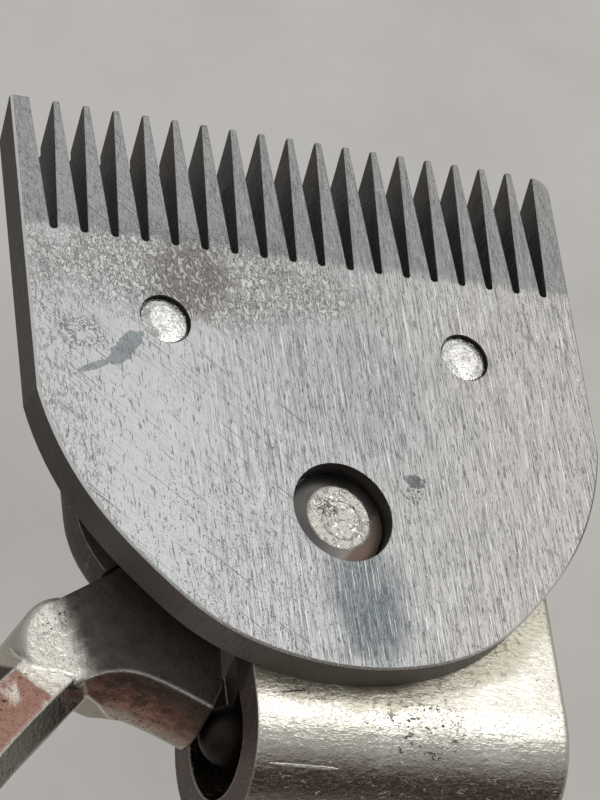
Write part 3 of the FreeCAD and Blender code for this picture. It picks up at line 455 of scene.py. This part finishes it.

# the fixed handle: nickel plate over a forging, soft with age, so a warm bright skin with a fine
# orange peel, dark pits, yellow grime where a cloth can't reach past the comb, dark bare steel at
# the drum's mouth, painted shade inside the slot and on the cap's side, and a painted reddish
# reflection with painted glints low on the drum
headNickel = {
    "base": "#c6c1b6", "rough": 0.25, "relief": 0.016, "softEdge": 0.35,
    "areas": {
        "pitted": {"patch": (4.0, 4.0, 4.0), "from": 0.5, "to": 0.62},
        "scratch": {"centre": (-4.1, -22.5, 22), "reach": (3.7, 0.11, 9), "turn": -1, "from": 1.1,
                    "to": 0.8, "wobble": 0.9, "wobbleSize": 0.7},
        "crack": {"centre": (-5.4, -16.3, 22), "reach": (1.3, 0.09, 9), "turn": 8, "from": 1.1,
                  "to": 0.8, "wobble": 0.8, "wobbleSize": 0.8},
        "pittedMiddle": {"centre": (7.3, -19.2, 23), "reach": (4.2, 3.2, 6), "from": 1.3, "to": 0.6,
                         "wobble": 1.0, "wobbleSize": 1.5},
        "drumZone": {"past": (0, 1, 0), "from": -28.5, "to": -26.5},
        "drumSide": {"past": (0, -1, -0.4), "from": 10.5, "to": 14.0, "wobble": 2.5,
                     "wobbleSize": 1.2, "within": ("drumZone",)},
        "top": {"past": (0, 0, 1), "from": 17.0, "to": 20.0},
        "grimeEdge": {"axis": (0, 14.6), "from": 33.2, "to": 31.0, "wobble": 3.2, "wobbleSize": 2.6,
                      "within": ("top",)},
        "brownEdge": {"centre": (2.9, -15.0, 23), "reach": (4.4, 0.9, 6), "turn": 4, "from": 1.25,
                      "to": 0.5, "wobble": 1.0, "wobbleSize": 0.8, "within": ("top",)},
        "mouthRim": {"facing": (-1, 0, 0), "from": 0.55, "to": 0.85},
        "capSide": {"past": (0, 1, 0), "from": -9.0, "to": -7.0},
        "capSideShade": {"facing": (-1, 0, 0), "from": 0.15, "to": 0.5, "within": ("capSide",)},
        "rear": {"past": (0, -1, 0), "from": 7.0, "to": 9.0},
        "upright": {"facing": (0, 0, 1), "from": 0.75, "to": 0.55},
        "slotShade": {"centre": (-8.0, -9.0, 17.5), "reach": (6.5, 7.0, 9.5), "from": 1.1, "to": 0.95,
                 "within": ("upright",)},
        "worn": {"edge": 0.35, "from": 0.985, "to": 0.93, "within": ("rear",)}},
    "layers": [
        {"size": (5, 5, 5), "from": 0.4, "to": 0.7, "colour": "#dedad0", "amount": 0.75},
        {"size": (1.5, 0.5, 0.5), "from": 0.4, "to": 0.65, "height": 0.8, "colour": "#aaa59a",
         "amount": 0.25},
        {"size": (0.5, 0.42, 0.42), "twist": 0.7, "from": 0.44, "to": 0.64, "height": 0.8,
         "rough": -0.03},
        {"on": "pitted", "size": (0.3, 0.3, 0.3), "from": 0.62, "to": 0.68, "colour": "#45403b",
         "amount": 0.7, "height": -0.9, "rough": 0.2},
        {"on": "pittedMiddle", "size": (0.5, 0.34, 0.34), "twist": 0.8, "from": 0.59, "to": 0.65,
         "colour": "#3b3633", "amount": 0.9, "height": -2.0, "rough": 0.2},
        # painted reflection: a reddish-grey band low on the drum's rear, with painted glints as bright
        # specks
        {"on": "drumSide", "colour": "#7a6860", "amount": 0.55},
        {"on": "drumSide", "size": (0.7, 0.4, 0.4), "twist": 0.9, "from": 0.64, "to": 0.7,
         "colour": "#f0e9e1", "amount": 0.8, "height": 2.5, "rough": -0.05},
        {"on": "grimeEdge", "colour": "#a39c86", "amount": 0.6, "rough": 0.1, "metal": -0.15},
        {"on": "grimeEdge", "size": (0.9, 0.9, 0.9), "from": 0.56, "to": 0.66, "colour": "#7e735e",
         "amount": 0.6, "metal": -0.15},
        {"on": "brownEdge", "colour": "#5d5142", "amount": 0.85, "rough": 0.12, "metal": -0.3},
        {"on": "scratch", "colour": "#fffaf2", "amount": 0.9, "height": 2.0},
        {"on": "crack", "colour": "#3f3934", "amount": 0.85, "height": -3.0},
        {"on": "mouthRim", "colour": "#55463f", "amount": 0.92, "rough": 0.18, "metal": -0.5},
        {"on": "mouthRim", "size": (0.8, 0.35, 1.2), "from": 0.55, "to": 0.66, "colour": "#8a786c",
         "amount": 0.6, "height": 0.6},
        # painted shade on the cap's sides that face -x, with lighter flecks
        {"on": "capSideShade", "colour": "#3f3b38", "amount": 0.95, "rough": 0.1, "metal": -0.4},
        {"on": "capSideShade", "size": (0.3, 0.9, 1.6), "from": 0.57, "to": 0.66, "colour": "#77716b",
         "amount": 0.6, "height": 0.4},
        # edge wear, lightened further as a painted highlight along the edges
        {"on": "worn", "colour": "#ddd8ce", "amount": 0.7, "rough": -0.05},
        # painted shade inside the slot by the drum's mouth
        {"on": "slotShade", "colour": "#2f2a26", "amount": 0.95, "rough": 0.2, "metal": -0.6}]}

# the moving handle: the same plate, worn through on the bar and finger to the copper flash under
# it, with a painted pinkish reflection and painted light and dark reflection bands on the finger,
# and black where the arm runs under the comb, partly with old oil and partly as painted shade
leverNickel = {
    "base": "#bab4a9", "rough": 0.27, "relief": 0.02, "softEdge": 0.45,
    "areas": {
        "up": {"facing": (0, 0, 1), "from": 0.75, "to": 0.9},
        "bar": {"past": (-0.598, -0.801, 0), "from": 27.9, "to": 28.4, "wobble": 0.5,
                "wobbleSize": 0.8},
        "barTop": {"facing": (-0.1, -0.1, 1), "from": 0.8, "to": 0.95, "within": ("bar",)},
        "barNear": {"past": (0, 1, 0), "from": -125.0, "to": -35.0, "wobble": 30.0,
                    "wobbleSize": 8.0},
        "barLeft": {"facing": (-0.57, 0.42, 0.71), "from": 0.84, "to": 0.94,
                    "within": ("bar", "barNear")},
        "barPink": {"patch": (5.0, 7.0, 6.0), "from": 0.34, "to": 0.46,
                    "within": ("barTop", "barNear")},
        "barRubbed": {"patch": (3.0, 9.0, 4.0), "from": 0.56, "to": 0.64, "within": ("bar",)},
        "barSide": {"facing": (0, 0, 1), "from": 0.88, "to": 0.75, "within": ("bar",)},
        "litElbowFace": {"axis": (-24.7, -10.9), "from": 4.0, "to": 3.4, "wobble": 0.5,
                      "wobbleSize": 0.6, "within": ("up",)},
        "oilAndShade": {"past": (0.872, 0.489, 0), "from": -27.1, "to": -24.3, "wobble": 1.8,
                 "wobbleSize": 0.9},
        "oilAndShadeTop": {"facing": (0, 0, 1), "from": 0.66, "to": 0.8, "within": ("oilAndShade",)},
        "notBar": {"past": (-0.598, -0.801, 0), "from": 28.1, "to": 27.3},
        "offElbow": {"axis": (-24.7, -10.9), "from": 3.9, "to": 4.5, "within": ("notBar",)},
        "bevel": {"facing": (0.3, -0.8, 0.5), "from": 0.66, "to": 0.85, "within": ("offElbow",)},
        "bevelEnd": {"past": (0.8, -0.6, 0), "from": -4.0, "to": 4.0, "wobble": 5.0,
                     "wobbleSize": 1.2, "within": ("bevel",)},
        "flank": {"facing": (0, -0.8, -0.6), "from": 0.4, "to": 0.7, "within": ("notBar",)},
        "pitted": {"patch": (3.5, 3.5, 3.5), "from": 0.52, "to": 0.64},
        "fingerLowNickelAndSheen": {"past": (-0.28, -0.612, -0.741), "from": 2.3, "to": 3.5, "wobble": 1.4,
                      "wobbleSize": 1.1, "within": ("bevel",)},
        "fingerHigh": {"past": (0.28, 0.612, 0.741), "from": -1.6, "to": 0.4, "wobble": 1.6,
                       "wobbleSize": 1.0, "within": ("bevel",)},
        "rear": {"past": (0, -1, 0), "from": 8.0, "to": 10.0},
        "worn": {"edge": 0.45, "from": 0.992, "to": 0.95, "wobble": 0.03, "wobbleSize": 0.8,
                 "within": ("rear",)}},
    "layers": [
        {"size": (4, 4, 4), "from": 0.4, "to": 0.7, "colour": "#8f887c", "amount": 0.5},
        {"size": (0.5, 0.5, 0.5), "twist": 0.7, "from": 0.45, "to": 0.62, "height": 0.7,
         "colour": "#cac5ba", "amount": 0.35},
        # painted highlight: the elbow's top, clear of the comb's shadow, painted light
        {"on": "litElbowFace", "colour": "#c9c5bc", "amount": 0.85},
        {"on": "barSide", "colour": "#8d887d", "amount": 0.7, "rough": 0.06},
        {"on": "barRubbed", "colour": "#8a6152", "amount": 0.6, "rough": 0.05},
        {"on": "barPink", "colour": "#734e41", "amount": 0.88, "rough": 0.05},
        {"on": "barLeft", "colour": "#4b453e", "amount": 0.92},
        # copper flash on the finger's bevel, with a painted pinkish reflection in it
        {"on": "bevel", "colour": "#ad7f6e", "amount": 0.85, "rough": 0.08, "metal": -0.2},
        {"on": "bevel", "size": (1.6, 0.5, 0.6), "turn": -25, "from": 0.5, "to": 0.62,
         "colour": "#b07a66", "amount": 0.6},
        {"on": "bevel", "size": (1.4, 0.7, 0.8), "turn": -25, "from": 0.46, "to": 0.6,
         "colour": "#66504a", "amount": 0.6},
        {"on": "bevelEnd", "colour": "#6b5c52", "amount": 0.7, "rough": 0.06},
        # painted reflection bands on the finger's rounded side: dark high up, light low down, where
        # the light band also shows bright nickel
        {"on": "fingerHigh", "colour": "#514a42", "amount": 0.75},
        {"on": "fingerLowNickelAndSheen", "colour": "#cfc6b8", "amount": 0.75, "rough": -0.05, "metal": 0.2},
        # the down-facing flanks painted lighter as a reflected light band
        {"on": "flank", "colour": "#a8a094", "amount": 0.6},
        # partly old oil, partly painted shade where the arm runs under the comb
        {"on": "oilAndShadeTop", "colour": "#463e38", "amount": 0.97, "rough": 0.16, "metal": -0.75},
        {"on": "oilAndShadeTop", "size": (1.2, 1.2, 1.2), "from": 0.42, "to": 0.66, "colour": "#332d29",
         "amount": 0.6, "rough": 0.05},
        {"on": "oilAndShadeTop", "size": (0.35, 0.35, 0.35), "from": 0.6, "to": 0.7, "colour": "#6a625a",
         "amount": 0.45, "height": 0.5},
        {"on": "pitted", "size": (0.3, 0.3, 0.3), "from": 0.61, "to": 0.67, "colour": "#332e2a",
         "amount": 0.85, "height": -1.0, "rough": 0.2},
        {"on": "bevel", "size": (0.32, 0.32, 0.32), "from": 0.62, "to": 0.68, "colour": "#2e2623",
         "amount": 0.75, "height": -0.8},
        # rubbed edges, lightened further as a painted highlight along the finger's ridge
        {"on": "worn", "colour": "#eeeae0", "amount": 0.9, "rough": -0.08, "metal": 0.5}]}

# the thumb nut and its washer: cast or stamped, nickel plated and rubbed by fingers, so a softer
# shine, darker in the corners
nutNickel = {
    "base": "#b5b0a5", "rough": 0.27, "relief": 0.05, "softEdge": 0.35,
    "areas": {
        "pitted": {"patch": (3.0, 3.0, 3.0), "from": 0.5, "to": 0.62},
        "upright": {"facing": (0, 0, 1), "from": 0.75, "to": 0.55},
        "greasy": {"axis": (0, 0), "from": 5.6, "to": 5.1, "wobble": 0.3, "wobbleSize": 1.0,
                   "within": ("upright",)},
        "worn": {"edge": 0.35, "from": 0.985, "to": 0.93}},
    "layers": [
        {"size": (3, 3, 3), "from": 0.4, "to": 0.7, "colour": "#857d70", "amount": 0.55},
        {"size": (0.5, 0.5, 0.5), "twist": 0.7, "from": 0.45, "to": 0.62, "height": 0.7},
        {"on": "pitted", "size": (0.3, 0.3, 0.3), "from": 0.58, "to": 0.64, "colour": "#3c3630",
         "amount": 0.8, "height": -0.9, "rough": 0.2},
        {"on": "worn", "colour": "#e0dbd0", "amount": 0.75, "rough": -0.05},
        {"on": "greasy", "colour": "#37312c", "amount": 0.92, "rough": 0.15, "metal": -0.4}]}

# follower, shoe and drive pin: turned and oil-blackened steel, darkened further as painted shade
# so that the follower sits dark in the drum's mouth, a dim soft shine with darker clouds and tool
# lines
oiledAndShadedSteel = {
    "base": "#3b3632", "rough": 0.52, "relief": 0.02, "softEdge": 0.15, "areas": {},
    "layers": [
        {"size": (1.4, 1.4, 1.4), "from": 0.38, "to": 0.66, "colour": "#322e2b", "amount": 0.8,
         "rough": 0.1},
        {"size": (0.14, 3, 3), "from": 0.5, "to": 0.66, "colour": "#4c4844", "amount": 0.4,
         "height": 0.6}]}

# spring and cupped washer: hardened and tempered wire and strip, blue-black with a brown cast and
# rubbed spots
springSteel = {
    "base": "#4d4f54", "rough": 0.28, "relief": 0.02, "softEdge": 0.12, "areas": {},
    "layers": [
        {"size": (1.6, 1.6, 1.6), "from": 0.4, "to": 0.66, "colour": "#5a4a40", "amount": 0.6,
         "rough": 0.1},
        {"size": (0.3, 0.3, 0.3), "from": 0.58, "to": 0.66, "colour": "#8b8d90", "amount": 0.5,
         "height": 0.5}]}

# the lever's bush: bored and turned bronze, warm yellow-brown, browner where the oil has stood
bearingBronze = {
    "base": "#b98a52", "rough": 0.27, "relief": 0.02, "softEdge": 0.12, "areas": {},
    "layers": [
        {"size": (1.1, 1.1, 1.1), "from": 0.4, "to": 0.66, "colour": "#7d5730", "amount": 0.7,
         "rough": 0.1},
        {"size": (0.14, 3, 3), "from": 0.5, "to": 0.66, "colour": "#d8ab70", "amount": 0.4,
         "height": 0.6}]}


# return spring: sizes in metres, and the pitch at its ends as a share of the open one
springCoil = {"wireRadius": 0.00065, "turns": 6.0, "closedTurns": 0.8, "closedPitch": 0.12,
              "pitchEasing": 2, "sides": 14, "stepsPerTurn": 56, "travel": 0.0034}


def makeSpring(material):
    low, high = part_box("return_spring")
    c = springCoil
    wire = c["wireRadius"]
    middle = (low + high) / 2
    radius = (high.z - low.z) / 2 - wire
    start, end = low.x + wire, high.x - wire
    steps = int(c["turns"] * c["stepsPerTurn"])
    closed = c["closedTurns"] / c["turns"]
    vertices, faces, path, advance = [], [], [], 0.0
    # the pitch eases off at both ends, where the coils lie against their seats
    gains = []
    for i in range(steps + 1):
        t = i / steps
        near = min(t, 1 - t) / closed
        gains.append(min(1.0, c["closedPitch"] + (1 - c["closedPitch"]) * near ** c["pitchEasing"]))
    total = sum(gains)
    for i in range(steps + 1):
        t = i / steps
        angle = 2 * math.pi * c["turns"] * t
        path.append(Vector((start + (end - start) * advance / total,
                            middle.y + radius * math.cos(angle), middle.z + radius * math.sin(angle))))
        advance += gains[i]
    for i, point in enumerate(path):
        ahead = (path[min(i + 1, steps)] - path[max(i - 1, 0)]).normalized()
        outward = Vector((0, point.y - middle.y, point.z - middle.z)).normalized()
        side = ahead.cross(outward).normalized()
        outward = side.cross(ahead).normalized()
        for k in range(c["sides"]):
            around = 2 * math.pi * k / c["sides"]
            vertices.append(point + wire * (math.cos(around) * outward + math.sin(around) * side))
    for i in range(steps):
        for k in range(c["sides"]):
            n = (k + 1) % c["sides"]
            faces.append((i * c["sides"] + k, i * c["sides"] + n,
                          (i + 1) * c["sides"] + n, (i + 1) * c["sides"] + k))
    faces.append(tuple(range(c["sides"] - 1, -1, -1)))
    faces.append(tuple(steps * c["sides"] + k for k in range(c["sides"])))
    mesh = bpy.data.meshes.new("springCoil")
    mesh.from_pydata([tuple(v) for v in vertices], [], faces)
    mesh.validate()
    for polygon in mesh.polygons:
        polygon.use_smooth = len(polygon.vertices) == 4
    mesh.materials.append(material)
    spring = bpy.data.objects.new("springCoil", mesh)
    bpy.context.scene.collection.objects.link(spring)
    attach(spring, "frame")
    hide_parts("return_spring")
    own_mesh(spring)


def paint(nodeNames, material):
    for nodeName in nodeNames:
        for holder in nodes[nodeName].material_slots:
            holder.material = material


print("stage: camera and studio")
placeCamera()
buildStudio()

print("stage: finishes")
paint(["comb_plate"], makeFinish("groundCombSteel", combSteel))
paint(["cutter_plate"], makeFinish("groundCutterSteel", cutterSteel))
paint(["pivot_bolt"], makeFinish("turnedBoltSteel", boltSteel))
paint(["comb_pin_left", "comb_pin_right"], makeFinish("rivetedPinSteel", pinSteel))
paint(["fixed_handle"], makeFinish("oldNickelHead", headNickel))
paint(["moving_handle"], makeFinish("oldNickelLever", leverNickel))
paint(["thumb_nut", "plain_washer"], makeFinish("oldNickelNut", nutNickel))
paint(["spring_follower", "drive_shoe", "drive_pin"], makeFinish("oiledAndShadedSteel", oiledAndShadedSteel))
tempered = makeFinish("temperedSpringSteel", springSteel)
paint(["tension_washer"], tempered)
paint(["lever_bush"], makeFinish("bearingBronze", bearingBronze))

print("stage: spring")
makeSpring(tempered)

print("stage: finish")
bpy.context.scene.view_settings.view_transform = "Standard"
